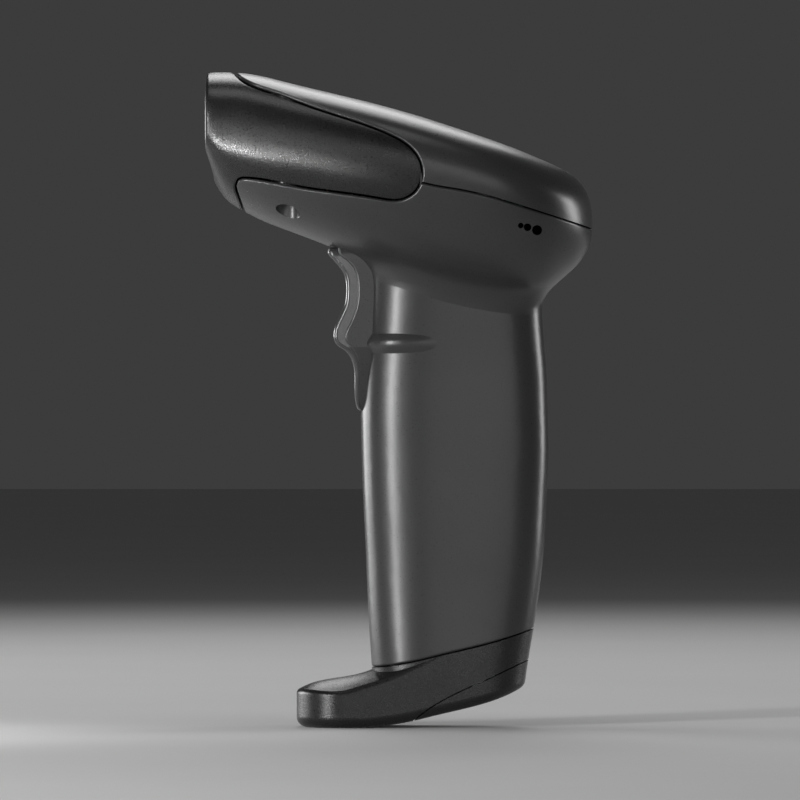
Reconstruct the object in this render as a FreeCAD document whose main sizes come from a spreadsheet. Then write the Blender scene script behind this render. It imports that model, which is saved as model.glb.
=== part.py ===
"""Handheld barcode scanner: a parametric assembly, in millimetres.

+X is the scanner's left-to-right width, the nose points along -Y and +Z is up. The origin is on the
ground under the middle of the overall box.
"""
import FreeCAD
import Part

import math
import os

import Sketcher
from FreeCAD import Placement, Rotation, Vector

doc = FreeCAD.newDocument("barcode_scanner")
sheet = doc.addObject("Spreadsheet::Sheet", "Dimensions")

# alias, value in mm (or degrees), meaning
DIMENSIONS = [
    ("wall", 2.2, "wall thickness of the moulded shells"),
    ("shell_gap", 0.15, "gap left on each side of a seam between two shells"),
    ("bezel_gap", 0.35, "wider gap left on the shells beside the nose bezel"),
    ("seam_round", 0.5, "edge round beside a seam"),
    ("cutter_span", 120.0, "length of the tools that split the shells"),
    ("neck_round", 8.0, "blend between the head and the handle"),
    ("nose_edge_round", 1.0, "round of the nose's front edge"),
    ("window_half_width", 29.8, "half width of the window opening at the front"),
    ("window_mid_z", 150.2, "height of the opening's widest line"),
    ("window_top_rise", 10.5, "opening above its widest line"),
    ("window_bottom_drop", 13.0, "opening below its widest line"),
    ("window_face_y", -48.7, "front of the opening"),
    ("window_seat_y", -44.2, "inner face that the window is seated against"),
    ("window_thick", 1.5, "window pane thickness"),
    ("gasket_thick", 0.6, "window gasket thickness"),
    ("mark_thick", 0.15, "printed mark thickness"),
    ("mark_radius", 1.2, "printed dot radius"),
    ("mark_line_wide", 0.5, "printed line width"),
    ("mark_x", 20.8, "printed dot position from the middle"),
    ("collar_half_width", 7.9, "half width of the trigger collar"),
    ("trigger_half_width", 6.6, "half width of the trigger"),
    ("slot_half_width", 7.0, "half width of the trigger slot"),
    ("trigger_skin", 1.8, "trigger wall"),
    ("pivot_y", 0.6, "trigger pivot"),
    ("pivot_z", 117.4, "trigger pivot"),
    ("pin_radius", 1.2, "trigger pin radius"),
    ("pin_clearance", 0.05, "running clearance of the trigger on its pin"),
    ("pin_length", 20.6, "trigger pin length"),
    ("screw_x", 23.6, "head screw position"),
    ("screw_y", -28.0, "head screw position"),
    ("screw_head_radius", 2.5, "head screw head radius"),
    ("screw_shank_radius", 1.3, "head screw shank radius"),
    ("screw_pocket_radius", 3.1, "pocket round the head screw"),
    ("screw_pocket_top", 134.6, "bottom of the screw pocket, seen from below"),
    ("post_radius", 4.3, "screw post radius"),
    ("bracket_z", 138.8, "underside of the engine bracket"),
    ("bracket_thick", 1.2, "engine bracket thickness"),
    ("engine_width", 32.0, "imaging engine width"),
    ("engine_depth", 13.0, "imaging engine depth"),
    ("engine_height", 13.4, "imaging engine height"),
    ("engine_front_y", -39.0, "imaging engine front face"),
    ("eye_width", 7.4, "width of each engine eye"),
    ("eye_height", 5.4, "height of each engine eye"),
    ("eye_x", 8.8, "engine eye centre from the middle"),
    ("eye_z", 145.5, "engine eye centre"),
    ("eye_depth", 3.0, "depth of an engine eye"),
    ("board_thick", 1.6, "main board thickness"),
    ("board_z", 131.0, "underside of the main board"),
    ("board_half_width", 23.0, "main board half width"),
    ("board_front_y", -17.0, "main board front edge"),
    ("board_length", 48.0, "main board length"),
    ("board_post_x", 18.5, "main board screw position"),
    ("board_post_radius", 2.7, "main board post radius"),
    ("cell_radius", 9.1, "battery cell radius"),
    ("cell_length", 65.0, "battery cell length"),
    ("cell_y", 16.5, "battery cell axis"),
    ("cell_z", 27.0, "battery cell lower end"),
    ("cradle_thick", 1.3, "battery cradle wall"),
    ("base_skin", 2.2, "base wall"),
    ("foot_half_width", 13.2, "half width of the foot"),
    ("foot_tip_y", -26.1, "front of the foot"),
    ("foot_round", 11.8, "plan radius of the foot's front corners"),
    ("foot_top_round", 1.4, "round of the foot's upper edge"),
    ("base_low_round", 2.6, "round of the base's lower edge"),
    ("port_width", 8.9, "charging port width"),
    ("port_height", 3.2, "charging port height"),
    ("port_depth", 6.4, "charging port shell length"),
]
ALIASES = {}
for row, (alias, value, meaning) in enumerate(DIMENSIONS, start=1):
    sheet.set(f"A{row}", meaning)
    sheet.set(f"B{row}", str(value))
    sheet.setAlias(f"B{row}", alias)
    ALIASES[alias] = value
doc.recompute()

nodes = []


# ---------------------------------------------------------------- helpers

def size(alias):
    """A driving dimension, read from the sheet."""
    return float(getattr(sheet, alias))


def bind(obj, **expressions):
    """Bind properties of an object to the sheet: bind(box, Length="engine_width")."""
    for prop, text in expressions.items():
        for alias in sorted(ALIASES, key=len, reverse=True):
            text = text.replace(f"#{alias}#", f"Dimensions.{alias}")
        if text in ALIASES:
            text = f"Dimensions.{text}"
        obj.setExpression(prop, text)
    return obj


def place(obj, x=0.0, y=0.0, z=0.0, axis=None, degrees=0.0):
    rotation = Rotation(axis, degrees) if axis else Rotation()
    obj.Placement = Placement(Vector(x, y, z), rotation)
    return obj


def node(obj, label):
    """Name an object as a sub-part of the assembly."""
    obj.Label = label
    nodes.append(obj)
    return obj


def box(name, length, width, height, x, y, z):
    """A block whose three sides are sheet expressions, placed by its lowest corner."""
    made = doc.addObject("Part::Box", name)
    for prop, value in (("Length", length), ("Width", width), ("Height", height)):
        if isinstance(value, str):
            bind(made, **{prop: value})
        else:
            setattr(made, prop, value)
    return place(made, x, y, z)


def cylinder(name, radius, height, x, y, z, axis=None, degrees=0.0):
    made = doc.addObject("Part::Cylinder", name)
    for prop, value in (("Radius", radius), ("Height", height)):
        if isinstance(value, str):
            bind(made, **{prop: value})
        else:
            setattr(made, prop, value)
    return place(made, x, y, z, axis, degrees)


def boolean(kind, name, base, tool):
    made = doc.addObject(f"Part::{kind}", name)
    made.Base = base
    made.Tool = tool
    made.Refine = False
    return made


def cut(name, base, tool):
    return boolean("Cut", name, base, tool)


def common(name, base, tool):
    return boolean("Common", name, base, tool)


def fuse(name, *shapes):
    made = doc.addObject("Part::MultiFuse", name)
    made.Shapes = list(shapes)
    made.Refine = False
    return made


SKETCH_PLANES = {
    "side": Rotation(Vector(0, 1, 0), Vector(0, 0, 1), Vector(1, 0, 0), "ZXY"),
    "front": Rotation(Vector(1, 0, 0), Vector(0, 0, 1), Vector(0, -1, 0), "ZXY"),
    "plan": Rotation(),
}


def spline(points, closed=False):
    curve = Part.BSplineCurve()
    curve.interpolate(Points=[Vector(u, v, 0) for u, v in points], PeriodicFlag=closed)
    return curve


def line(start, end):
    return Part.LineSegment(Vector(*start, 0), Vector(*end, 0))


def arc(start, middle, end):
    return Part.Arc(Vector(*start, 0), Vector(*middle, 0), Vector(*end, 0))


def polygon(points):
    return [line(a, b) for a, b in zip(points, points[1:] + points[:1])]


def outline(name, plane, geometry):
    """A free sketch in the side (Y, Z), front (X, Z) or plan (X, Y) plane."""
    sketch = doc.addObject("Sketcher::SketchObject", name)
    sketch.Placement = Placement(Vector(), SKETCH_PLANES[plane])
    sketch.addGeometry(geometry, False)
    return sketch


def extrude(name, sketch, direction, length, symmetric=True):
    made = doc.addObject("Part::Extrusion", name)
    made.Base = sketch
    made.DirMode = "Custom"
    made.Dir = direction
    made.Solid = True
    made.Symmetric = symmetric
    if isinstance(length, str):
        bind(made, LengthFwd=length)
    else:
        made.LengthFwd = length
    return made


def side_cutter(name, geometry):
    """A tool as wide as the scanner, with the given outline in the side view."""
    return extrude(name, outline(f"{name}_outline", "side", geometry), Vector(1, 0, 0), "cutter_span")


def middle_of(edge):
    first, last = edge.ParameterRange
    return edge.valueAt((first + last) / 2)


def turn_at(shape, edge):
    """The angle between an edge's two faces, in degrees, and their lowest normal; 0 for a free edge."""
    faces = shape.ancestorsOfType(edge, Part.Face)
    if len(faces) != 2:
        return 0.0, 0.0
    normals = [face.normalAt(*face.Surface.parameter(middle_of(edge))) for face in faces]
    return math.degrees(normals[0].getAngle(normals[1])), min(normal.z for normal in normals)


def skin_edges(shape, form):
    """Numbers of a shell's sharp edges that lie on the outer form."""
    skin = Part.Compound(form.Faces)
    found = []
    for number, edge in enumerate(shape.Edges, start=1):
        first, last = edge.ParameterRange
        spots = [edge.valueAt(first + (last - first) * share) for share in (0.15, 0.5, 0.85)]
        away = max(skin.distToShape(Part.Vertex(spot))[0] for spot in spots)
        if away < 0.02 and turn_at(shape, edge)[0] > 25:
            found.append(number)
    return found


def round_edges(name, base, numbers, radius):
    """Round the numbered edges; the seam stays sharp where the surface leaves no room for a round."""
    if not numbers:
        return base
    made = doc.addObject("Part::Fillet", name)
    made.Base = base
    made.Edges = [(number, radius, radius) for number in numbers]
    doc.recompute([made])
    if made.Shape.isNull() or not made.Shape.isValid() or made.Shape.Volume < 0.5 * base.Shape.Volume:
        doc.removeObject(made.Name)
        print("no round:", name, len(numbers))
        return base
    return made


# ---------------------------------------------------------------- outer form

def power(value, exponent):
    return math.copysign(abs(value) ** exponent, value)


def blend(table, at):
    """Values between the rows of a table whose first column is the position."""
    for low, high in zip(table, table[1:]):
        if at <= high[0]:
            share = (at - low[0]) / (high[0] - low[0])
            return [a + share * (b - a) for a, b in zip(low[1:], high[1:])]
    return list(table[-1][1:])


# Head stations: y, half width, top, widest line, bottom, upper and lower exponent of the section.
HEAD = [
    (-48.60, 34.5, 164.9, 150.0, 142.4, 3.4, 2.40),
    (-47.60, 34.9, 165.1, 149.8, 139.5, 3.4, 2.40),
    (-46.20, 35.1, 165.2, 149.4, 136.6, 3.4, 2.40),
    (-44.00, 35.2, 165.2, 149.0, 133.5, 3.4, 2.40),
    (-41.00, 35.4, 165.1, 148.6, 131.3, 3.4, 2.35),
    (-36.00, 35.7, 164.5, 148.0, 128.6, 3.3, 2.30),
    (-28.00, 36.1, 162.6, 147.0, 125.4, 3.2, 2.20),
    (-18.00, 36.5, 160.2, 145.6, 121.6, 3.1, 2.12),
    (-8.00, 36.8, 157.8, 144.0, 117.6, 3.0, 2.06),
    (2.00, 36.9, 155.1, 142.2, 113.8, 2.9, 2.02),
    (12.00, 36.6, 152.0, 140.2, 110.4, 2.8, 2.00),
    (22.00, 35.3, 148.7, 137.6, 108.2, 2.7, 2.00),
    (30.00, 32.5, 145.8, 135.0, 107.8, 2.6, 2.00),
    (36.00, 29.0, 143.3, 132.6, 109.2, 2.5, 2.00),
    (41.00, 24.4, 141.0, 130.4, 113.2, 2.4, 2.00),
    (45.00, 18.5, 138.2, 128.4, 116.9, 2.3, 2.00),
    (47.40, 12.1, 134.8, 127.2, 120.6, 2.2, 2.00),
    (48.50, 5.4, 130.9, 127.0, 123.8, 2.0, 2.00),
    (48.68, 2.0, 128.6, 127.0, 125.6, 2.0, 2.00),
]

# Handle stations: z, front, rear, half width.
HANDLE = [
    (-2.0, -5.9, 31.0, 13.2),
    (8.0, -6.6, 31.5, 13.2),
    (15.0, -7.1, 32.2, 13.2),
    (24.0, -7.7, 33.7, 13.05),
    (34.0, -8.2, 35.2, 12.9),
    (46.0, -8.7, 36.5, 12.9),
    (58.0, -9.3, 37.1, 12.95),
    (70.0, -9.7, 37.6, 13.0),
    (80.0, -9.9, 37.4, 13.1),
    (90.0, -9.6, 37.05, 13.2),
    (98.0, -9.2, 36.4, 13.4),
    (105.0, -8.8, 36.0, 13.6),
    (112.0, -8.6, 35.8, 13.8),
    (124.0, -8.6, 35.8, 13.8),
]
# The finger rib runs round the handle's front corners just under the trigger.
RIB_Z = 96.9
RIB_HALF_HEIGHT = 3.0
RIB_RISE = 1.15


def ring(points):
    curve = Part.BSplineCurve()
    curve.interpolate(Points=points, PeriodicFlag=True)
    return Part.Wire([curve.toShape()])


def head_ring(station, inset):
    """One closed head section, drawn in by the inset on all sides."""
    y, half_width, top, widest, bottom, upper, lower = station
    points = []
    for step in range(28):
        angle = 2 * math.pi * step / 28 + math.pi / 2
        rise = math.sin(angle)
        exponent = 2 / (upper if rise >= 0 else lower)
        reach = (top - inset - widest) if rise >= 0 else (widest - bottom - inset)
        x = (half_width - inset) * power(math.cos(angle), exponent)
        points.append(Vector(x, y, widest + reach * power(rise, exponent)))
    return ring(points)


def handle_ring(station, inset, swell=0.0):
    """One closed handle section, drawn in by the inset, or swollen round its front corners."""
    z, front, rear, half_width = station
    middle = (front + rear) / 2
    reach = (rear - front) / 2 - inset
    points = []
    for step in range(28):
        angle = 2 * math.pi * step / 28 + math.pi / 2
        x = (half_width - inset) * power(math.cos(angle), 2 / 2.7)
        y = middle + reach * power(math.sin(angle), 2 / 2.7)
        fade = min(max((14.0 - y) / 17.0, 0.0), 1.0)
        away = Vector(math.cos(angle), math.sin(angle), 0)
        points.append(Vector(x, y, z) + away * (swell * fade * fade * (3 - 2 * fade)))
    return ring(points)


def rib_form():
    """A low rib that swells from just under the handle's skin and fades along its sides."""
    rings = []
    for share in (-1.0, -0.75, -0.5, -0.25, 0.0, 0.25, 0.5, 0.75, 1.0):
        z = RIB_Z + share * RIB_HALF_HEIGHT
        swell = RIB_RISE * (1 - share * share) ** 1.6
        rings.append(handle_ring((z, *blend(HANDLE, z)), 0.25, swell + 0.1))
    rows = [row for row in HANDLE if 84 < row[0] < 110]
    core = loft("rib_core", [handle_ring(row, 1.2) for row in rows])
    return cut("rib_ring", loft("rib_form", rings), core)


def loft(name, rings):
    """A smooth solid through a row of closed section wires."""
    sections = []
    for number, wire in enumerate(rings):
        section = doc.addObject("Part::Feature", f"{name}_section_{number}")
        section.Shape = wire
        sections.append(section)
    made = doc.addObject("Part::Loft", name)
    made.Sections = sections
    made.Solid = True
    made.Ruled = False
    return made


def head_loft(name, inset, first_y, last_y):
    """The head's form between two stations, drawn in by the inset."""
    stations = [row for row in HEAD if first_y < row[0] < last_y]
    ends = [(first_y, *blend(HEAD, first_y)), (last_y, *blend(HEAD, last_y))]
    stations = sorted(set(stations + ends))
    return loft(name, [head_ring(row, inset) for row in stations])


def outer_form():
    """Head and handle as one solid, blended at the neck, with a rounded nose edge."""
    head = head_loft("head_form", 0.0, HEAD[0][0], HEAD[-1][0])
    handle = loft("handle_form", [handle_ring(row, 0.0) for row in HANDLE])
    doc.recompute()
    front = [number for number, edge in enumerate(head.Shape.Edges, start=1)
             if edge.BoundBox.YMax < HEAD[0][0] + 0.01]
    head = round_edges("head_edge", head, front, size("nose_edge_round"))
    whole = fuse("head_and_handle", head, handle)
    doc.recompute()
    neck = [number for number, edge in enumerate(whole.Shape.Edges, start=1)
            if 100 < edge.BoundBox.ZMin and edge.BoundBox.ZMax < 124 and edge.Length > 40]
    return round_edges("outer_form", whole, neck, size("neck_round")), handle


def inner_form():
    """The hollow inside the shells."""
    wall = size("wall")
    head = head_loft("head_hollow", wall, size("window_seat_y"), 46.3)
    rows = [row for row in HANDLE if row[0] > 5]
    handle = loft("handle_hollow", [handle_ring(row, wall) for row in rows])
    return fuse("inner_form", head, handle)


# ---------------------------------------------------------------- seams

# The nose bezel in the side view: its upper seam, its rounded tongue and its lower seam.
BEZEL_UPPER = [(-42.2, 168.0), (-41.6, 164.6), (-39.4, 162.2), (-32.6, 159.3), (-21.8, 155.4),
               (-10.9, 151.8), (-2.0, 148.3)]
BEZEL_TONGUE = [(-2.0, 148.3), (2.6, 145.3), (5.0, 141.6), (5.3, 138.2), (3.8, 134.9), (0.5, 132.9)]
BEZEL_LOWER = [(0.5, 132.9), (-5.4, 133.2), (-16.3, 134.8), (-27.2, 136.5), (-38.1, 138.3)]
BEZEL_CHIN = [(-38.1, 138.3), (-40.4, 137.9), (-41.1, 136.3), (-40.6, 134.2), (-39.6, 131.0),
              (-38.6, 127.0)]

# The seam between the top cover and the lower housing; in front it stays inside the bezel.
COVER_SEAM = [(-60.0, 152.0), (-40.0, 149.5), (-20.0, 145.4), (-5.0, 140.6), (6.8, 136.6),
              (16.3, 134.9), (27.2, 132.1), (38.1, 128.8), (47.6, 126.0), (60.0, 122.4)]

# The seam between the handle and the base.
BASE_SEAM = [(-40.0, 15.0), (-20.0, 15.0), (-6.8, 15.2), (0.0, 16.0), (10.9, 18.5), (21.8, 21.1), (33.5, 24.8),
             (44.0, 28.4)]

# The underside of the base, from the tip of the foot to the rear.
BASE_BOTTOM = [(-9.2, 0.0), (-3.5, 0.6), (3.0, 1.7), (8.4, 3.0), (16.9, 5.0), (24.8, 7.3),
               (30.0, 9.6), (34.0, 12.0)]


def shifted(points, distance):
    """A seam's points moved square to the seam: to its left when the distance is positive."""
    moved = []
    for before, here, after in zip(points[:1] + points, points, points[1:] + points[-1:]):
        along = math.hypot(after[0] - before[0], after[1] - before[1])
        moved.append((here[0] - distance * (after[1] - before[1]) / along,
                      here[1] + distance * (after[0] - before[0]) / along))
    return moved


def bezel_zone(name, gap):
    """The zone in front that the bezel fills, in the side view, grown by the gap."""
    rear = shifted(BEZEL_UPPER + BEZEL_TONGUE[1:] + BEZEL_LOWER[1:] + BEZEL_CHIN[1:], gap)
    sides = [rear[-1], (-58.0, rear[-1][1]), (-58.0, rear[0][1]), rear[0]]
    return side_cutter(name, [spline(rear)] + [line(a, b) for a, b in zip(sides, sides[1:])])


def half_zone(name, seam, gap, level):
    """Everything between a seam and a level, in the side view, drawn back from the seam by the gap."""
    edge = shifted(seam, gap)
    sides = [edge[-1], (edge[-1][0], level), (edge[0][0], level), edge[0]]
    return side_cutter(name, [spline(edge)] + [line(a, b) for a, b in zip(sides, sides[1:])])


def superellipse(half_width, rise, drop, middle, upper, lower):
    """A closed window-like outline in (X, Z)."""
    points = []
    for step in range(48):
        angle = 2 * math.pi * step / 48
        up = math.sin(angle) >= 0
        exponent = 2 / (upper if up else lower)
        x = half_width * power(math.cos(angle), exponent)
        reach = rise if up else drop
        points.append((x, middle + reach * power(math.sin(angle), exponent)))
    return points


def window_ring(inset):
    """The window opening's outline, drawn in by the inset."""
    return superellipse(size("window_half_width") - inset, size("window_top_rise") - inset,
                        size("window_bottom_drop") - inset, size("window_mid_z"), 4.2, 2.9)


# ---------------------------------------------------------------- body helpers

def new_body(name):
    return doc.addObject("PartDesign::Body", name)


def body_sketch(body, name, role, offset=0.0):
    """A sketch on one of the body's own origin planes, moved along the plane's normal."""
    plane = [item for item in body.Origin.OriginFeatures if item.Role == role][0]
    sketch = body.newObject("Sketcher::SketchObject", name)
    sketch.AttachmentSupport = [(plane, "")]
    sketch.MapMode = "FlatFace"
    sketch.AttachmentOffset = Placement(Vector(0, 0, offset), Rotation())
    return sketch


def length_of(value):
    return size(value) if isinstance(value, str) else value


def dimension(sketch, kind, values, measure, name):
    """A named dimension, bound to the sheet when it is given by its alias."""
    sketch.addConstraint(Sketcher.Constraint(kind, *values, length_of(measure)))
    number = sketch.ConstraintCount - 1
    sketch.renameConstraint(number, name)
    if isinstance(measure, str):
        sketch.setExpression(f"Constraints.{name}", f"Dimensions.{measure}")


def rectangle(sketch, width, height, x=0.0, y=0.0):
    """A rectangle centred on a point, held by its sides and its lowest corner."""
    w, t = length_of(width), length_of(height)
    low = (x - w / 2, y - t / 2)
    corners = [low, (low[0] + w, low[1]), (low[0] + w, low[1] + t), (low[0], low[1] + t)]
    first = sketch.addGeometry(polygon(corners), False)[0]
    for side in range(4):
        sketch.addConstraint(Sketcher.Constraint("Coincident", first + side, 2, first + (side + 1) % 4, 1))
    for side in (0, 2):
        sketch.addConstraint(Sketcher.Constraint("Horizontal", first + side))
        sketch.addConstraint(Sketcher.Constraint("Vertical", first + side + 1))
    dimension(sketch, "DistanceX", (first, 1, first, 2), width, f"width_{first}")
    dimension(sketch, "DistanceY", (first + 1, 1, first + 1, 2), height, f"height_{first}")


def circle(sketch, radius, x=0.0, y=0.0):
    shape = Part.Circle(Vector(x, y, 0), Vector(0, 0, 1), length_of(radius))
    number = sketch.addGeometry(shape, False)
    dimension(sketch, "Radius", (number,), radius, f"radius_{number}")


def feature(body, kind, name, sketch, length=None, through=False, midplane=False, reverse=False):
    """A pad or pocket whose length is bound to the sheet when it is given by its alias."""
    made = body.newObject(f"PartDesign::{kind}", name)
    made.Profile = sketch
    made.Midplane = midplane
    made.Reversed = reverse
    if through:
        made.Type = "ThroughAll"
    elif isinstance(length, str):
        made.setExpression("Length", f"Dimensions.{length}")
    else:
        made.Length = length
    sketch.Visibility = False
    body.Tip = made
    return made


def turned(name, profile, x, y, z, axis=None, degrees=0.0):
    """A turned piece: a (radius, height) profile revolved about its own vertical axis."""
    body = new_body(name)
    sketch = body_sketch(body, f"{name}_profile", "XZ_Plane")
    sketch.addGeometry(polygon(profile), False)
    made = body.newObject("PartDesign::Revolution", f"{name}_turn")
    made.Profile = sketch
    made.ReferenceAxis = (sketch, ["V_Axis"])
    made.Angle = 360
    body.Tip = made
    return place(body, x, y, z, axis, degrees)


# ---------------------------------------------------------------- head shells and handle

def base_zone(name, gap):
    """Everything below the seam between the handle and the base, in the side view."""
    return half_zone(name, BASE_SEAM, -gap, -12.0)


COLLAR_RIM = [(-17.6, 123.6), (-15.6, 121.2), (-15.2, 119.4), (-13.6, 118.0), (-11.7, 115.9),
              (-10.8, 113.2), (-10.6, 109.9), (-10.8, 107.2), (-11.5, 104.6), (-12.6, 102.0),
              (-13.7, 99.6), (-13.7, 97.8), (-12.2, 95.9), (-10.8, 93.8), (-10.2, 91.2),
              (-10.2, 84.9), (-9.8, 80.5), (-8.6, 77.4)]


def slot_outline(half_width, top, corner, bottom):
    """The trigger's upright outline in (X, Z): round top corners, long sides and a tapered round end."""
    right = [(half_width - corner, top), (half_width, top - corner), (half_width, 96.0),
             (half_width - 0.55, 91.0), (half_width - 1.4, 86.0), (half_width - 3.2, bottom + 2.2),
             (0.0, bottom)]
    mirrored = [(-x, z) for x, z in reversed(right[:-1])]
    end = [right[2], right[3], right[4], right[5], right[6]] + mirrored[:4]
    inward = corner * (1 - math.sqrt(0.5))
    knee = (half_width - inward, top - inward)
    return [line(mirrored[-1], right[0]), arc(right[0], knee, right[1]), line(right[1], right[2]),
            spline(end), line(mirrored[3], mirrored[4]),
            arc(mirrored[4], (-knee[0], knee[1]), mirrored[5])]


def collar_form():
    """The raised collar that frames the trigger on the front of the handle."""
    upright = outline("collar_upright", "front", slot_outline(size("collar_half_width"), 122.6, 3.3, 78.2))
    column = extrude("collar_column", upright, Vector(0, 1, 0), 50.0)
    rim = COLLAR_RIM
    side = [spline(rim), line(rim[-1], (-5.8, 77.4)), line((-5.8, 77.4), (-5.8, 123.6)),
            line((-5.8, 123.6), rim[0])]
    swept = side_cutter("collar_side", side)
    collar = common("collar_block", column, swept)
    doc.recompute()
    edges = [number for number, edge in enumerate(collar.Shape.Edges, start=1)
             if middle_of(edge).y < -6.0 and edge.BoundBox.ZLength > 20]
    return round_edges("collar_form", collar, edges, 0.5)


def posts(name, radius, places, low, high):
    """Round posts between two heights."""
    made = []
    for number, (x, y) in enumerate(places):
        made.append(cylinder(f"{name}_{number}", radius, high - low, x, y, low))
    return made


def both_sides(x, y):
    return [(x, y), (-x, y)]


def board_posts():
    x = size("board_post_x")
    return both_sides(x, -11.0) + both_sides(x, 24.0)


BASE_SCREWS = [(6.2, -1.2), (-6.2, -1.2)]


def rounded_shell(name, shell, outer, last_y):
    """A shell with its seam edges rounded on the outside, as far back as a given Y."""
    doc.recompute()
    edges = shell.Shape.Edges
    chosen = [number for number in skin_edges(shell.Shape, outer.Shape)
              if middle_of(edges[number - 1]).y < last_y]
    return round_edges(name, shell, chosen, size("seam_round"))


def lower_housing(rest, core, outer):
    """The lower half of the head with the handle, the trigger collar, the rib and the inner posts."""
    gap = size("shell_gap")
    lower = common("lower_block", rest, half_zone("lower_zone", COVER_SEAM, -gap, -14.0))
    ended = cut("lower_skin", lower, base_zone("handle_end", -gap))
    skin = rounded_shell("lower_rounded", ended, outer, 60.0)
    screw_posts = posts("screw_post", "post_radius", both_sides(size("screw_x"), size("screw_y")), 124.0,
                        size("bracket_z"))
    mounts = posts("board_post", "board_post_radius", board_posts(), 112.0, size("board_z"))
    kept = [common(f"{item.Name}_seated", item, core) for item in screw_posts + mounts]
    cheeks = [box(f"pivot_cheek_{side}", 3.0, 7.4, 8.0, x, -3.2, 113.4)
              for side, x in enumerate((7.3, -10.3))]
    rails = [box(f"switch_rail_{side}", 2.4, 1.6, 17.0, x, 4.6, 94.0) for side, x in enumerate((9.2, -11.6))]
    feet = [cylinder(f"base_boss_{side}", 3.4, 9.0, x, y, 16.6) for side, (x, y) in enumerate(BASE_SCREWS)]
    whole = fuse("lower_whole", skin, collar_form(), rib_form(), *kept, *cheeks, *rails, *feet)
    return node(cut("lower_openings", whole, housing_tools()), "lower_housing")


def housing_tools():
    """Everything that is cut out of the lower housing: slot, pockets, bores and buzzer holes."""
    upright = outline("slot_upright", "front", slot_outline(size("slot_half_width"), 121.6, 2.6, 79.0))
    slot = place(extrude("slot", upright, Vector(0, 1, 0), 26.0), 0, -15.0, 0)
    pivot = cylinder("pivot_bore", "pin_radius", 21.0, -10.5, size("pivot_y"), size("pivot_z"),
                     Vector(0, 1, 0), 90)
    screws = both_sides(size("screw_x"), size("screw_y"))
    pockets = posts("screw_pocket", "screw_pocket_radius", screws, 112.0, size("screw_pocket_top"))
    bores = posts("screw_bore", 1.55, screws, 125.0, 145.0)
    pilots = posts("board_pilot", 1.0, board_posts(), 124.0, 136.0)
    base = posts("base_pilot", 1.1, BASE_SCREWS, 10.0, 24.0)
    holes = []
    for number, (y, z, radius) in enumerate(((33.2, 126.2, 0.7), (34.9, 125.8, 0.95), (37.3, 125.1, 1.25))):
        holes.append(cylinder(f"buzzer_hole_{number}", radius, 16.0, 18.0, y - 3.0, z, Vector(0, 1, 0), 90))
    return fuse("housing_tools", slot, pivot, *pockets, *bores, *pilots, *base, *holes)


def top_cover(rest, core, outer):
    """The smooth upper shell of the head, with its two screw posts."""
    upper = half_zone("upper_zone", COVER_SEAM, size("shell_gap"), 176.0)
    skin = rounded_shell("cover_rounded", common("cover_skin", rest, upper), outer, 0.0)
    top = size("bracket_z") + size("bracket_thick")
    places = both_sides(size("screw_x"), size("screw_y"))
    pillars = posts("cover_post", "post_radius", places, top, 162.0)
    kept = [common(f"{item.Name}_seated", item, core) for item in pillars]
    pilots = fuse("cover_pilots", *posts("cover_pilot", 1.1, places, top - 1, 152.0))
    return node(cut("cover_openings", fuse("cover_whole", skin, *kept), pilots), "top_cover")


# The bezel's rear edge falls away in small steps: width from the edge, depth from the skin.
BEZEL_STEPS = [(0.50, 0.12), (0.22, 0.38)]


def nose_bezel(hollow):
    """The textured frame round the window, with its long side tongues."""
    gap = size("shell_gap")
    skin = common("bezel_skin", hollow, bezel_zone("bezel_core", -gap))
    for number, (width, depth) in enumerate(BEZEL_STEPS):
        margin = cut(f"bezel_margin_{number}", bezel_zone(f"bezel_reach_{number}", 0.0),
                     bezel_zone(f"bezel_stay_{number}", -gap - width))
        under = head_loft(f"bezel_under_{number}", depth, -46.5, 14.0)
        skin = cut(f"bezel_stepped_{number}", skin, cut(f"bezel_lip_{number}", margin, under))
    front, seat = size("window_face_y"), size("window_seat_y")
    funnel = loft("window_funnel", [ring([Vector(x, y, z) for x, z in window_ring(inset)])
                                    for y, inset in ((front - 2.0, -0.35), (front, 0.0), (seat + 3.0, 1.4))])
    return node(cut("bezel_open", skin, funnel), "nose_bezel")


# ---------------------------------------------------------------- base

PANEL_LINE = [(1.0, -1.0), (7.3, 4.9), (10.9, 7.1), (16.3, 9.8), (21.8, 12.2), (27.2, 14.7),
              (32.6, 17.1), (42.0, 21.2)]
FOOT_TOP = [(-30.0, 8.6), (-25.9, 9.4), (-23.7, 10.5), (-19.9, 11.7), (-13.3, 12.8), (-8.7, 13.9),
            (-5.0, 15.4), (3.0, 18.4), (13.0, 23.0)]
FOOT_SIDE = [(-30.0, 6.9), (-25.9, 7.2), (-23.7, 7.5), (-19.9, 8.1), (-13.3, 9.0), (-8.7, 10.4),
             (-4.1, 11.8), (3.0, 14.9), (13.0, 20.4)]
# The foot's straight sides run back to the handle's widest line.
FOOT_BACK = 12.4


def base_floor(name, rise, front):
    """A side-view zone above the base's gently bowed underside."""
    bowed = [(y, z + rise) for y, z in BASE_BOTTOM]
    start = (front, rise)
    roof = [bowed[-1], (40.0, bowed[-1][1]), (40.0, 40.0), (front, 40.0), start, bowed[0]]
    return side_cutter(name, [spline(bowed)] + [line(a, b) for a, b in zip(roof, roof[1:])])


def side_ring(points, x):
    """A closed wire in a plane square to X: a curved top edge and a flat box below it."""
    curve = Part.BSplineCurve()
    curve.interpolate([Vector(x, y, z) for y, z in points])
    low = [Vector(x, points[-1][0], -6.0), Vector(x, points[0][0], -6.0)]
    ends = [Vector(x, *points[-1]), low[0], low[1], Vector(x, *points[0])]
    edges = [curve.toShape()] + [Part.makeLine(a, b) for a, b in zip(ends, ends[1:])]
    return Part.Wire(edges)


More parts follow.
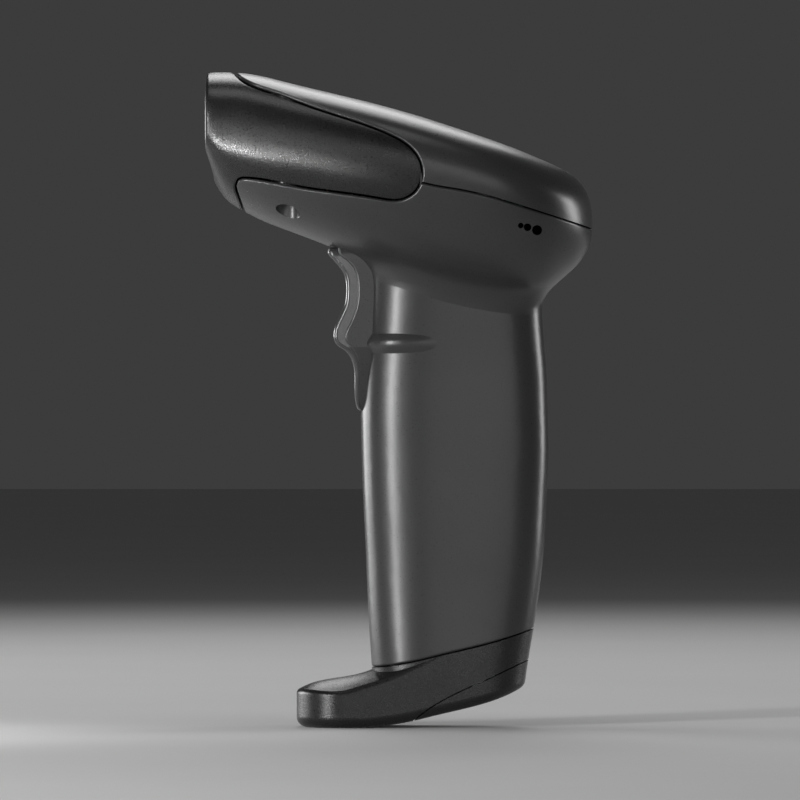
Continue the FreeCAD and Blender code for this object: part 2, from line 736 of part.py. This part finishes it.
def foot_form():
    """The foot that reaches forward: round in plan, with a crowned top."""
    half, tip, corner = size("foot_half_width"), size("foot_tip_y"), size("foot_round")
    back, flat = FOOT_BACK, half - corner
    diagonal = corner * math.sqrt(0.5)
    centre = tip + corner
    plan = [line((-half, back), (half, back)), line((half, back), (half, centre)),
            arc((half, centre), (flat + diagonal, centre - diagonal), (flat, tip)),
            line((flat, tip), (-flat, tip)),
            arc((-flat, tip), (-flat - diagonal, centre - diagonal), (-half, centre)),
            line((-half, centre), (-half, back))]
    column = extrude("foot_column", outline("foot_plan", "plan", plan), Vector(0, 0, 1), 60.0)
    crown = loft("foot_crown", [side_ring(FOOT_SIDE, -half - 0.6), side_ring(FOOT_TOP, 0.0),
                                side_ring(FOOT_SIDE, half + 0.6)])
    foot = common("foot_form", column, crown)
    doc.recompute()
    rim = [number for number, edge in enumerate(foot.Shape.Edges, start=1)
           if edge.BoundBox.ZMin > 6.0 and middle_of(edge).y < back - 1.0 and edge.BoundBox.XLength +
           edge.BoundBox.YLength > 2.0]
    return round_edges("foot_rounded", foot, rim, size("foot_top_round"))


def floor_edges(shape, rear):
    """Numbers of the base's lower edges, behind or in front of the foot's back."""
    found = []
    for number, edge in enumerate(shape.Edges, start=1):
        spot = middle_of(edge)
        turn, lowest = turn_at(shape, edge)
        if spot.z < 14 and edge.Length > 2 and (spot.y > FOOT_BACK - 0.1) == rear and turn > 35 \
                and lowest < -0.8:
            found.append(number)
    return found


def base_block(handle):
    """The solid base: handle end and foot above the bowed underside, with its lower edge rounded."""
    block = common("base_raw", fuse("base_joined", handle, foot_form()), base_floor("base_floor", 0.0, -32.0))
    for name, rear in (("base_rear_round", True), ("base_front_round", False)):
        doc.recompute()
        block = round_edges(name, block, floor_edges(block.Shape, rear), size("base_low_round"))
    return block


def base_pieces(handle):
    """The base cup with its foot, and the rear panel that carries the charging port."""
    gap, skin = size("shell_gap"), size("base_skin")
    whole = base_block(handle)
    rows = [row for row in HANDLE if row[0] < 35]
    core = common("base_core", loft("base_core_form", [handle_ring(row, skin) for row in rows]),
                  base_floor("base_core_floor", skin, -32.0))
    solid = cut("base_hollow", whole, core)
    end = common("base_end_block", solid, base_zone("base_end", gap))
    toe = box("toe_hollow", 18.0, 17.0, 4.6, -9.0, -18.0, skin)
    port = box("port_opening", size("port_width") + 0.4, size("port_height") + 0.4, 12.0,
               -size("port_width") / 2 - 0.2, 20.0 - size("port_height") / 2 - 0.2, 1.0)
    heads = posts("base_screw_pocket", 2.9, BASE_SCREWS, -2.0, 3.2)
    shanks = posts("base_screw_bore", 1.5, BASE_SCREWS, 3.0, 20.0)
    columns = posts("base_screw_column", 3.4, BASE_SCREWS, 1.6, 14.8)
    cup = cut("base_cup", cut("base_toed", end, toe), half_zone("panel_room", PANEL_LINE, gap, -14.0))
    cup = fuse("base_posted", cup, *columns)
    node(cut("base_foot_open", cup, fuse("base_tools", *heads, *shanks)), "base_foot")
    panel = common("panel_block", end, half_zone("panel_zone", PANEL_LINE, -gap, -14.0))
    node(cut("panel_open", panel, port), "base_rear_panel")


def charging_port():
    """The metal shell of the charging port, its tongue, and the small board that carries it."""
    width, depth, height = size("port_width"), size("port_height"), size("port_depth")
    outside = box("port_outside", "port_width", "port_height", "port_depth", -width / 2, 20 - depth / 2, 6.2)
    inside = box("port_inside", width - 0.7, depth - 0.7, height, -width / 2 + 0.35, 20.35 - depth / 2, 5.6)
    node(cut("port_shell", outside, inside), "port_shell")
    node(box("port_tongue_block", 6.4, 0.8, 4.4, -3.2, 19.6, 7.6), "port_tongue")
    node(box("base_board_block", 17.0, 17.0, 1.2, -8.5, 7.0, 6.2 + height), "base_board")


# ---------------------------------------------------------------- window and imaging engine

def window_parts():
    """The tinted window, the gasket behind the bezel and the printed aiming marks."""
    seat, gasket = size("window_seat_y"), size("gasket_thick")
    body = new_body("window_body")
    sketch = body_sketch(body, "window_outline", "XZ_Plane")
    sketch.addGeometry(spline(window_ring(-0.2), True), False)
    feature(body, "Pad", "window_pad", sketch, "window_thick", reverse=True)
    node(place(body, 0, seat + gasket, 0), "window")
    body = new_body("gasket_body")
    sketch = body_sketch(body, "gasket_outline", "XZ_Plane")
    sketch.addGeometry(spline(window_ring(-0.2), True), False)
    sketch.addGeometry(spline(window_ring(1.7), True), False)
    feature(body, "Pad", "gasket_pad", sketch, "gasket_thick", reverse=True)
    node(place(body, 0, seat, 0), "window_gasket")
    printed = []
    level = size("window_mid_z") - 1.2
    for side in (1, -1):
        dot = cylinder(f"mark_dot_{side + 1}", "mark_radius", "mark_thick", side * size("mark_x"),
                       seat + gasket, level, Vector(1, 0, 0), 90)
        length = 5.0
        middle = side * (size("window_half_width") - 4.6)
        bar = box(f"mark_line_{side + 1}", length, "mark_thick", "mark_line_wide", middle - length / 2,
                  seat + gasket - size("mark_thick"), level - size("mark_line_wide") / 2)
        printed += [dot, bar]
    node(fuse("mark_prints", *printed), "window_marks")


def imaging_engine():
    """The imaging engine: chassis with two square eyes and an aiming slot, lenses, board, bracket."""
    front, depth, width = size("engine_front_y"), size("engine_depth"), size("engine_width")
    base = size("bracket_z") + size("bracket_thick")
    middle = base + size("engine_height") / 2
    body = new_body("engine_body")
    sketch = body_sketch(body, "engine_face", "XZ_Plane")
    rectangle(sketch, "engine_width", "engine_height", 0, middle)
    feature(body, "Pad", "engine_block", sketch, "engine_depth", reverse=True)
    eyes = body_sketch(body, "engine_eyes", "XZ_Plane")
    for side in (1, -1):
        rectangle(eyes, "eye_width", "eye_height", side * size("eye_x"), size("eye_z"))
    rectangle(eyes, 1.7, "eye_height", 0, size("eye_z"))
    feature(body, "Pocket", "engine_eye_pockets", eyes, "eye_depth")
    node(place(body, 0, front, 0), "engine_chassis")
    floor = front + size("eye_depth")
    turn = (Vector(1, 0, 0), 90)
    barrel = cylinder("lens_barrel_tube", 2.55, 2.4, -size("eye_x"), floor, size("eye_z"), *turn)
    hole = cylinder("lens_barrel_hole", 2.0, 3.0, -size("eye_x"), floor, size("eye_z"), *turn)
    node(cut("lens_barrel_cut", barrel, hole), "lens_barrel")
    node(cylinder("lens_glass", 2.0, 1.4, -size("eye_x"), floor, size("eye_z"), *turn), "imaging_lens")
    lamp = box("lamp_block", 6.6, 0.8, 4.6, size("eye_x") - 3.3, floor - 0.8, size("eye_z") - 2.3)
    node(lamp, "illumination_lens")
    aim = box("aimer_block", 1.5, 1.2, 5.0, -0.75, floor - 1.2, size("eye_z") - 2.5)
    node(aim, "aimer_lens")
    board_y = front + depth
    node(box("engine_board_block", width + 2.0, 1.2, 14.8, -width / 2 - 1.0, board_y, base),
         "engine_board")
    engine_bracket()


def engine_bracket():
    """A flat plate under the engine with an ear round each head screw."""
    body = new_body("bracket_body")
    sketch = body_sketch(body, "bracket_outline", "XY_Plane")
    x, y = size("screw_x"), size("screw_y")
    rectangle(sketch, 2 * x, 9.0, 0, y)
    circle_place = body_sketch(body, "bracket_ears", "XY_Plane")
    feature(body, "Pad", "bracket_plate", sketch, "bracket_thick")
    for side in (1, -1):
        circle(circle_place, "post_radius", side * x, y)
    feature(body, "Pad", "bracket_ear_pad", circle_place, "bracket_thick")
    holes = body_sketch(body, "bracket_holes", "XY_Plane")
    for side in (1, -1):
        circle(holes, 1.5, side * x, y)
    feature(body, "Pocket", "bracket_hole_cut", holes, "bracket_thick", reverse=True)
    node(place(body, 0, 0, size("bracket_z")), "engine_bracket")


# ---------------------------------------------------------------- electronics

def main_electronics():
    """The main board in the head with its chips, connector, buzzer and shielding can."""
    thick, level = size("board_thick"), size("board_z")
    half, front = size("board_half_width"), size("board_front_y")
    body = new_body("board_body")
    sketch = body_sketch(body, "board_outline", "XY_Plane")
    rectangle(sketch, 2 * half, "board_length", 0, front + size("board_length") / 2)
    feature(body, "Pad", "board_pad", sketch, "board_thick")
    holes = body_sketch(body, "board_holes", "XY_Plane")
    for x, y in board_posts():
        circle(holes, 1.3, x, y)
    feature(body, "Pocket", "board_hole_cut", holes, "board_thick", reverse=True)
    node(place(body, 0, 0, level), "main_board")
    top = level + thick
    node(box("processor_block", 11.0, 11.0, 1.3, -5.5, -2.0, top), "processor_chip")
    node(box("memory_block", 8.0, 6.0, 1.1, 8.5, 0.0, top), "memory_chip")
    node(box("shield_block", 15.0, 12.0, 2.2, -7.5, 14.0, top), "radio_shield")
    node(box("socket_block", 14.0, 3.6, 1.9, -7.0, -15.4, top), "flex_socket")
    node(cylinder("buzzer_can", 5.5, 4.2, 8.6, 20.0, level - 4.2), "buzzer")
    flex_strip(top)


def flex_strip(top):
    """The flat strip from the engine's board down to the main board."""
    wide, thin = 11.0, 0.3
    start = size("engine_front_y") + size("engine_depth") + 1.2
    path = [(start, 143.0), (start + 3.4, 142.2), (start + 5.2, 138.6), (-16.6, top + 1.2),
            (-15.7, top + 1.1)]
    upper = [spline(path)]
    lower = [spline([(y + thin * 0.6, z + thin) for y, z in path])]
    ends = [line(path[-1], (path[-1][0] + thin * 0.6, path[-1][1] + thin)),
            line((path[0][0] + thin * 0.6, path[0][1] + thin), path[0])]
    strip = extrude("flex_solid", outline("flex_outline", "side", upper + ends[:1] + lower + ends[1:]),
                    Vector(1, 0, 0), wide)
    node(strip, "engine_flex")


def battery_parts():
    """The battery cell in the handle, its open cradle and the two spring contacts."""
    radius, y, z, length = size("cell_radius"), size("cell_y"), size("cell_z"), size("cell_length")
    node(cylinder("cell_can", "cell_radius", "cell_length", 0, y, z), "battery_cell")
    outer = cylinder("cradle_tube", radius + 0.2 + size("cradle_thick"), length - 8.0, 0, y, z + 4.0)
    hole = cylinder("cradle_bore", radius + 0.2, length, 0, y, z + 2.0)
    front = box("cradle_window", 30.0, 14.0, length, -15.0, y - 18.0, z + 2.0)
    node(cut("cradle_cut", outer, fuse("cradle_tools", hole, front)), "battery_cradle")
    contact = [(0.0, 0.0), (6.0, 0.0), (6.0, 0.5), (0.0, 0.5)]
    node(turned("lower_contact_turn", contact, 0, y, z - 0.6), "lower_contact")
    node(turned("upper_contact_turn", contact, 0, y, z + length + 0.1), "upper_contact")


# ---------------------------------------------------------------- trigger and switch

TRIGGER_FACE = [(-17.9, 121.2), (-18.3, 120.2), (-17.2, 118.5), (-15.5, 116.6), (-14.1, 114.4),
                (-13.6, 112.0), (-13.6, 109.3), (-13.9, 106.9), (-14.8, 104.6), (-15.8, 102.5),
                (-16.6, 100.4), (-16.7, 98.3), (-15.9, 96.6), (-14.3, 95.5), (-12.8, 94.0),
                (-11.9, 92.0), (-11.5, 89.5), (-11.4, 83.5), (-11.0, 81.2), (-10.2, 79.4)]


def trigger_part():
    """The trigger: a curved finger face with side walls, pivot lugs and a rib that meets the switch."""
    upright = outline("trigger_upright", "front",
                      slot_outline(size("trigger_half_width"), 121.2, 2.2, 80.0))
    column = extrude("trigger_column", upright, Vector(0, 1, 0), 50.0)
    face = TRIGGER_FACE
    back = [face[-1], (-7.4, 79.4), (-7.4, 95.0), (-7.6, 112.0), (-7.0, 119.4), (-11.0, 121.2), face[0]]
    side = [spline(face)] + [line(a, b) for a, b in zip(back, back[1:])]
    block = common("trigger_block", column, side_cutter("trigger_side", side))
    doc.recompute()
    edges = [number for number, edge in enumerate(block.Shape.Edges, start=1)
             if edge.BoundBox.ZLength > 15 and middle_of(edge).y < -9.5]
    solid = round_edges("trigger_rounded", block, edges, 1.0)
    skin = size("trigger_skin")
    inside = [(y + skin, z) for y, z in shifted(face[5:-2], 0.0)]
    closed = [inside[-1], (-2.0, inside[-1][1]), (-2.0, inside[0][1]), inside[0]]
    hollow_side = outline("trigger_hollow_side", "side",
                          [spline(inside)] + [line(a, b) for a, b in zip(closed, closed[1:])])
    hollow = extrude("trigger_hollow", hollow_side, Vector(1, 0, 0), 2 * (size("trigger_half_width") - skin))
    shell = cut("trigger_shell", solid, hollow)
    rib = box("trigger_rib", 3.0, 12.3, 3.0, -1.5, -15.3, 98.5)
    lug = cylinder("trigger_lug", 2.9, 2 * size("trigger_half_width"), -size("trigger_half_width"),
                   size("pivot_y"), size("pivot_z"), Vector(0, 1, 0), 90)
    arms = [box(f"trigger_arm_{side}", 2.0, 9.6, 4.6, x, -9.0, 115.1)
            for side, x in enumerate((4.6, -6.6))]
    bore = cylinder("trigger_bore", size("pin_radius") + size("pin_clearance"), 30.0, -15.0,
                    size("pivot_y"), size("pivot_z"), Vector(0, 1, 0), 90)
    bind(bore, Radius="Dimensions.pin_radius + Dimensions.pin_clearance")
    node(cut("trigger_cut", fuse("trigger_whole", shell, rib, lug, *arms), bore), "trigger")
    pin = cylinder("pin_rod", "pin_radius", "pin_length", -size("pin_length") / 2, size("pivot_y"),
                   size("pivot_z"), Vector(0, 1, 0), 90)
    node(pin, "trigger_pin")


def switch_parts():
    """The trigger switch on its upright board, with its plunger."""
    node(box("switch_board_block", 20.4, 1.2, 16.0, -10.2, 3.3, 94.5), "switch_board")
    body = box("switch_block", 6.2, 4.2, 6.2, -3.1, -0.9, 96.9)
    room = cylinder("switch_room", 1.9, 3.4, 0, 2.4, 100.0, Vector(1, 0, 0), 90)
    node(cut("switch_case", body, room), "switch_body")
    node(cylinder("plunger_rod", 1.55, 2.9, 0, 0.3, 100.0, Vector(1, 0, 0), 90), "switch_plunger")


# ---------------------------------------------------------------- fasteners

def screw(name, head_radius, head_rise, shank_radius, length, x, y, z):
    """A pan-head screw pointing up, with its head's outer face at the given height."""
    profile = [(0.0, 0.0), (head_radius - 0.5, 0.0), (head_radius, 0.5), (head_radius, head_rise),
               (shank_radius, head_rise), (shank_radius, length - 0.8), (0.0, length)]
    body = turned(name, profile, x, y, z)
    recess = body_sketch(body, f"{name}_recess_outline", "XY_Plane")
    rectangle(recess, 0.42 * head_radius, 1.3 * head_radius)
    feature(body, "Pocket", f"{name}_recess_1", recess, 0.7, reverse=True)
    across = body_sketch(body, f"{name}_recess_across", "XY_Plane")
    rectangle(across, 1.3 * head_radius, 0.42 * head_radius)
    feature(body, "Pocket", f"{name}_recess_2", across, 0.7, reverse=True)
    return body


def fasteners():
    x, y = size("screw_x"), size("screw_y")
    top = size("screw_pocket_top")
    for side, place_x in (("right", x), ("left", -x)):
        node(screw(f"head_screw_turn_{side}", size("screw_head_radius"), 1.8, size("screw_shank_radius"), 17.0,
                   place_x, y, top - 1.8), f"head_screw_{side}")
    for (px, py), side in zip(BASE_SCREWS, ("right", "left")):
        node(screw(f"base_screw_turn_{side}", 2.4, 1.6, 1.2, 20.0, px, py, 1.6), f"base_screw_{side}")
    screws = []
    for number, (px, py) in enumerate(board_posts()):
        level = size("board_z") + size("board_thick")
        profile = [(0.0, -5.0), (1.0, -5.0), (1.0, 0.0), (2.1, 0.0), (2.1, 1.2), (0.0, 1.2)]
        screws.append(turned(f"board_screw_turn_{number}", profile, px, py, level))
    node(fuse("board_screw_set", *screws), "board_screws")


# ---------------------------------------------------------------- assembly

def assemble():
    outer, handle = outer_form()
    hollow = cut("hollow_form", outer, inner_form())
    core = head_loft("wall_middle", 0.5 * size("wall"), -46.0, 46.5)
    rest = cut("shell_rest", hollow, bezel_zone("bezel_room", size("bezel_gap")))
    lower_housing(rest, core, outer)
    top_cover(rest, core, outer)
    nose_bezel(hollow)
    base_pieces(handle)
    charging_port()
    window_parts()
    imaging_engine()
    main_electronics()
    battery_parts()
    trigger_part()
    switch_parts()
    fasteners()


def check_and_write():
    """Stop on any failed feature, then write one file for each sub-part."""
    doc.recompute()
    failed = [item.Label for item in doc.Objects if {"Invalid", "Error"} & set(item.State)]
    if failed:
        raise RuntimeError(f"failed objects: {failed}")
    os.makedirs("parts", exist_ok=True)
    for item in nodes:
        if item.Shape.isNull() or not item.Shape.isValid() or not item.Shape.Solids:
            raise RuntimeError(f"bad shape: {item.Label}")
    for item in nodes:
        item.Shape.exportStep(f"parts/{item.Label}.step")
        print(f"{item.Label:20s} {len(item.Shape.Solids)} solid(s) {item.Shape.Volume:10.1f} mm3")


assemble()
check_and_write()
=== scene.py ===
"""Looks of the handheld barcode scanner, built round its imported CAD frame. Metres; nose along -Y."""

import math

import bpy
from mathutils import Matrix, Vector


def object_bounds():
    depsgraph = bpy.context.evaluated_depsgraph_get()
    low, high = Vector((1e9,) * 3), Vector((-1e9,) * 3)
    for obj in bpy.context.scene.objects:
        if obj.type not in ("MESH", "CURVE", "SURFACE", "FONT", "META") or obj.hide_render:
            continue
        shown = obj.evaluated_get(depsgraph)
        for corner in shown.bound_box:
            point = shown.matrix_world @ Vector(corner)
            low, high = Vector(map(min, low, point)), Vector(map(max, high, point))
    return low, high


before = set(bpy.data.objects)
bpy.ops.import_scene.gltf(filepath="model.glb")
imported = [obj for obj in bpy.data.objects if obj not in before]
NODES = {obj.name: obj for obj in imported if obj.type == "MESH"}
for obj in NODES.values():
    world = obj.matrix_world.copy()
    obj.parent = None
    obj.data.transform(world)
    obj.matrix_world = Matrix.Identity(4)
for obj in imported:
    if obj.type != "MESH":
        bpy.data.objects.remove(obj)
CAD_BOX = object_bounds()

# The stretch of a noise pattern that is mapped onto a range of colour or roughness.
NOISE_LOW = 0.3
NOISE_HIGH = 0.7


# ---------------------------------------------------------------- shader helpers

class Shader:
    """A node material: a Principled surface with procedural detail wired into it."""

    def __init__(self, name, colour, roughness, **settings):
        self.material = bpy.data.materials.new(name)
        self.material.use_nodes = True
        self.tree = self.material.node_tree
        self.surface = self.tree.nodes["Principled BSDF"]
        self.put("Base Color", (*colour, 1.0))
        self.put("Roughness", roughness)
        for socket, value in settings.items():
            self.put(socket.replace("_", " "), value)
        self.place = self.tree.nodes.new("ShaderNodeTexCoord").outputs["Object"]

    def put(self, socket, value):
        self.surface.inputs[socket].default_value = value

    def link(self, source, target):
        self.tree.links.new(source, target)

    def noise(self, scale, detail=2.0, roughness=0.5):
        """A noise pattern in object space; scale is in cells per metre."""
        made = self.tree.nodes.new("ShaderNodeTexNoise")
        made.inputs["Scale"].default_value = scale
        made.inputs["Detail"].default_value = detail
        made.inputs["Roughness"].default_value = roughness
        self.link(self.place, made.inputs["Vector"])
        return made.outputs["Fac"]

    def tint(self, pattern, first, second):
        """Base colour that drifts from one colour to another with a pattern."""
        ramp = self.tree.nodes.new("ShaderNodeValToRGB")
        ends = ramp.color_ramp.elements
        for end, position, colour in ((ends[0], NOISE_LOW, first), (ends[1], NOISE_HIGH, second)):
            end.position = position
            end.color = (*colour, 1.0)
        self.link(pattern, ramp.inputs["Fac"])
        self.link(ramp.outputs["Color"], self.surface.inputs["Base Color"])

    def rough(self, pattern, low, high):
        """Roughness that wanders between two values with a pattern."""
        made = self.tree.nodes.new("ShaderNodeMapRange")
        made.inputs["From Min"].default_value = NOISE_LOW
        made.inputs["From Max"].default_value = NOISE_HIGH
        made.inputs["To Min"].default_value = low
        made.inputs["To Max"].default_value = high
        self.link(pattern, made.inputs["Value"])
        self.link(made.outputs["Result"], self.surface.inputs["Roughness"])

    def bump(self, pattern, distance, strength):
        """Surface grain of a given depth in metres."""
        made = self.tree.nodes.new("ShaderNodeBump")
        made.inputs["Strength"].default_value = strength
        made.inputs["Distance"].default_value = distance
        self.link(pattern, made.inputs["Height"])
        self.link(made.outputs["Normal"], self.surface.inputs["Normal"])


# ---------------------------------------------------------------- materials

def satin_shell():
    """Dark grey moulded shell: satin, with a very fine spark-eroded grain."""
    made = Shader("satin_shell", (0.0315, 0.0315, 0.0325), 0.295)
    made.tint(made.noise(40.0), (0.030, 0.030, 0.031), (0.033, 0.033, 0.034))
    made.rough(made.noise(2600.0), 0.27, 0.32)
    made.bump(made.noise(3800.0, detail=1.0), 0.00002, 0.25)
    return made.material


def textured_plastic():
    """The coarser, sparkling grain of the bezel and the base."""
    made = Shader("textured_plastic", (0.0085, 0.0085, 0.009), 0.30)
    made.tint(made.noise(160.0, detail=3.0), (0.007, 0.007, 0.0075), (0.010, 0.010, 0.0105))
    made.rough(made.noise(2400.0), 0.24, 0.36)
    made.bump(made.noise(3400.0, roughness=0.6), 0.00005, 0.7)
    return made.material


def glossy_trigger():
    """Polished dark plastic under a thin clear coat."""
    made = Shader("glossy_trigger", (0.040, 0.040, 0.042), 0.215, Coat_Weight=0.4, Coat_Roughness=0.12)
    made.tint(made.noise(120.0), (0.036, 0.036, 0.038), (0.044, 0.044, 0.046))
    made.rough(made.noise(900.0), 0.17, 0.26)
    made.bump(made.noise(2500.0, detail=1.0), 0.00001, 0.2)
    return made.material


def tinted_window():
    """Dark see-through pane that lets the imaging engine show faintly."""
    made = Shader("tinted_window", (0.255, 0.255, 0.275), 0.04, IOR=1.49, Transmission_Weight=1.0)
    made.tint(made.noise(60.0), (0.24, 0.24, 0.26), (0.27, 0.27, 0.29))
    made.rough(made.noise(500.0), 0.02, 0.06)
    return made.material


def gold_print():
    """The printed aiming marks."""
    made = Shader("gold_print", (0.28, 0.20, 0.065), 0.365, Metallic=0.6)
    made.tint(made.noise(1500.0), (0.24, 0.17, 0.05), (0.32, 0.23, 0.08))
    made.rough(made.noise(2400.0), 0.28, 0.45)
    return made.material


PLAIN_DRIFT = 0.12
PLAIN_SHEEN = 0.15
PLAIN_SCALES = {"tint": 270.0, "rough": 900.0, "bump": 1980.0}
PLAIN_DEPTH = 0.00002
PLAIN_STRENGTH = 0.4


def plain(name, colour, roughness, **settings):
    """A simple moulded or metal finish with a slight drift of colour, sheen and grain."""
    made = Shader(name, colour, roughness, **settings)
    darker = tuple(part * (1 - PLAIN_DRIFT) for part in colour)
    lighter = tuple(part * (1 + PLAIN_DRIFT) for part in colour)
    made.tint(made.noise(PLAIN_SCALES["tint"], detail=3.0), darker, lighter)
    sheen = PLAIN_SHEEN * roughness
    made.rough(made.noise(PLAIN_SCALES["rough"]), roughness - sheen, roughness + sheen)
    made.bump(made.noise(PLAIN_SCALES["bump"]), PLAIN_DEPTH, PLAIN_STRENGTH)
    return made.material


# ---------------------------------------------------------------- finishes

FINISHES = {
    satin_shell: ["lower_housing", "top_cover"],
    textured_plastic: ["nose_bezel", "base_foot", "base_rear_panel"],
    glossy_trigger: ["trigger"],
    tinted_window: ["window"],
    gold_print: ["window_marks"],
}
PLAIN_FINISHES = [
    (dict(name="rubber_gasket", colour=(0.012, 0.012, 0.012), roughness=0.75), ["window_gasket"]),
    (dict(name="engine_grey", colour=(0.15, 0.15, 0.155), roughness=0.55), ["engine_chassis", "lens_barrel"]),
    (dict(name="lens_glass", colour=(0.02, 0.03, 0.06), roughness=0.05, Coat_Weight=1.0), ["imaging_lens"]),
    (dict(name="lamp_lens", colour=(0.62, 0.60, 0.55), roughness=0.25), ["illumination_lens", "aimer_lens"]),
    (dict(name="green_board", colour=(0.02, 0.11, 0.05), roughness=0.4),
     ["main_board", "engine_board", "switch_board", "base_board"]),
    (dict(name="steel", colour=(0.55, 0.55, 0.56), roughness=0.32, Metallic=1.0),
     ["board_screws", "trigger_pin", "port_shell", "radio_shield", "engine_bracket", "lower_contact",
      "upper_contact"]),
    (dict(name="dark_steel", colour=(0.10, 0.10, 0.105), roughness=0.42, Metallic=1.0),
     ["head_screw_right", "head_screw_left", "base_screw_right", "base_screw_left"]),
    (dict(name="chip_black", colour=(0.02, 0.02, 0.021), roughness=0.5),
     ["processor_chip", "memory_chip", "buzzer", "switch_body", "port_tongue", "battery_cradle"]),
    (dict(name="socket_cream", colour=(0.55, 0.51, 0.42), roughness=0.45), ["flex_socket"]),
    (dict(name="flex_amber", colour=(0.42, 0.20, 0.05), roughness=0.3), ["engine_flex"]),
    (dict(name="cell_wrap", colour=(0.05, 0.16, 0.30), roughness=0.35), ["battery_cell"]),
    (dict(name="plunger_red", colour=(0.35, 0.03, 0.02), roughness=0.4), ["switch_plunger"]),
]


def paint(names, material):
    for name in names:
        mesh = NODES[name].data
        mesh.materials.clear()
        mesh.materials.append(material)


for build, names in FINISHES.items():
    paint(names, build())
for settings, names in PLAIN_FINISHES:
    paint(names, plain(**settings))


# ---------------------------------------------------------------- studio

FLOOR_HALF = 6.0
AIR_STRENGTH = 0.045
LIGHT_TARGET = (0.0, 0.0, 0.10)

# Soft boxes: name, degrees from +X towards -Y, distance, height, width, tall, watts
SOFT_BOXES = [
    ("near_strip", 41.0, 0.90, 0.16, 0.11, 0.46, 6.5),
    ("front_rim", 118.0, 0.90, 0.16, 0.70, 0.30, 5.0),
    ("rear_rim", -112.0, 0.95, 0.20, 0.30, 0.40, 2.5),
    ("camera_fill", -16.0, 2.60, 0.10, 2.30, 0.60, 10.0),
    ("back_top", 180.0, 0.90, 0.75, 0.45, 0.60, 2.4),
    ("top_softbox", 11.3, 0.102, 0.80, 0.40, 0.40, 0.8),
]

# Spot lamps: name, place, target, cone in degrees, lamp radius, watts. The first picks out the grain on
# the front of the bezel from below; the second lights the floor in front of the nose.
SPOTS = [
    ("grain_spot", (0.33, -0.14, 0.03), (0.035, -0.052, 0.145), 10.0, 0.03, 8.0),
    ("nose_pool", (0.10, -0.30, 0.60), (0.06, -0.20, 0.0), 24.0, 0.05, 12.0),
]

SENSOR_MM = 36.0
LENS_MM = 400.0
CAMERA_AWAY = 2.25


def studio_floor():
    """A flat pale sheet that the scanner stands on."""
    mesh = bpy.data.meshes.new("studio_floor")
    corners = [(-FLOOR_HALF, -FLOOR_HALF, 0), (FLOOR_HALF, -FLOOR_HALF, 0),
               (FLOOR_HALF, FLOOR_HALF, 0), (-FLOOR_HALF, FLOOR_HALF, 0)]
    mesh.from_pydata(corners, [], [(0, 1, 2, 3)])
    floor = bpy.data.objects.new("studio_floor", mesh)
    bpy.context.scene.collection.objects.link(floor)
    made = Shader("pale_paper", (0.66, 0.66, 0.66), 0.85)
    made.tint(made.noise(8.0), (0.65, 0.65, 0.65), (0.67, 0.67, 0.67))
    mesh.materials.append(made.material)


def studio_air():
    """A faint even light from all sides."""
    world = bpy.data.worlds.new("studio_air")
    bpy.context.scene.world = world
    world.use_nodes = True
    shade = world.node_tree.nodes["Background"]
    shade.inputs["Color"].default_value = (1.0, 1.0, 1.0, 1.0)
    shade.inputs["Strength"].default_value = AIR_STRENGTH


def hang(lamp, place, target):
    """Put a lamp at its place, facing its target."""
    holder = bpy.data.objects.new(lamp.name, lamp)
    holder.location = place
    holder.rotation_euler = (Vector(target) - Vector(place)).to_track_quat("-Z", "Y").to_euler()
    bpy.context.scene.collection.objects.link(holder)
    return holder


def soft_box(name, degrees, away, height, width, tall, watts):
    lamp = bpy.data.lights.new(name, "AREA")
    lamp.shape = "RECTANGLE"
    lamp.size = width
    lamp.size_y = tall
    lamp.energy = watts
    turn = math.radians(degrees)
    hang(lamp, (away * math.cos(turn), -away * math.sin(turn), height), LIGHT_TARGET)


def spot_light(name, place, target, cone, radius, watts):
    lamp = bpy.data.lights.new(name, "SPOT")
    lamp.energy = watts
    lamp.spot_size = math.radians(cone)
    lamp.spot_blend = 1.0
    lamp.shadow_soft_size = radius
    hang(lamp, place, target).visible_camera = False


def side_camera():
    """A long lens that looks square at the scanner's side, as in a product picture."""
    low, high = (Vector(corner) for corner in CAD_BOX)
    lens = bpy.data.cameras.new("side_camera")
    lens.sensor_width = SENSOR_MM
    lens.lens = LENS_MM
    lens.clip_end = 100.0
    camera = bpy.data.objects.new("side_camera", lens)
    camera.location = (low + high) / 2 + Vector((CAMERA_AWAY, 0, 0))
    camera.rotation_euler = (math.radians(90), 0, math.radians(90))
    bpy.context.scene.collection.objects.link(camera)
    bpy.context.scene.camera = camera
    bpy.context.scene.view_settings.view_transform = "Standard"


studio_floor()
studio_air()
for row in SOFT_BOXES:
    soft_box(*row)
for row in SPOTS:
    spot_light(*row)
side_camera()
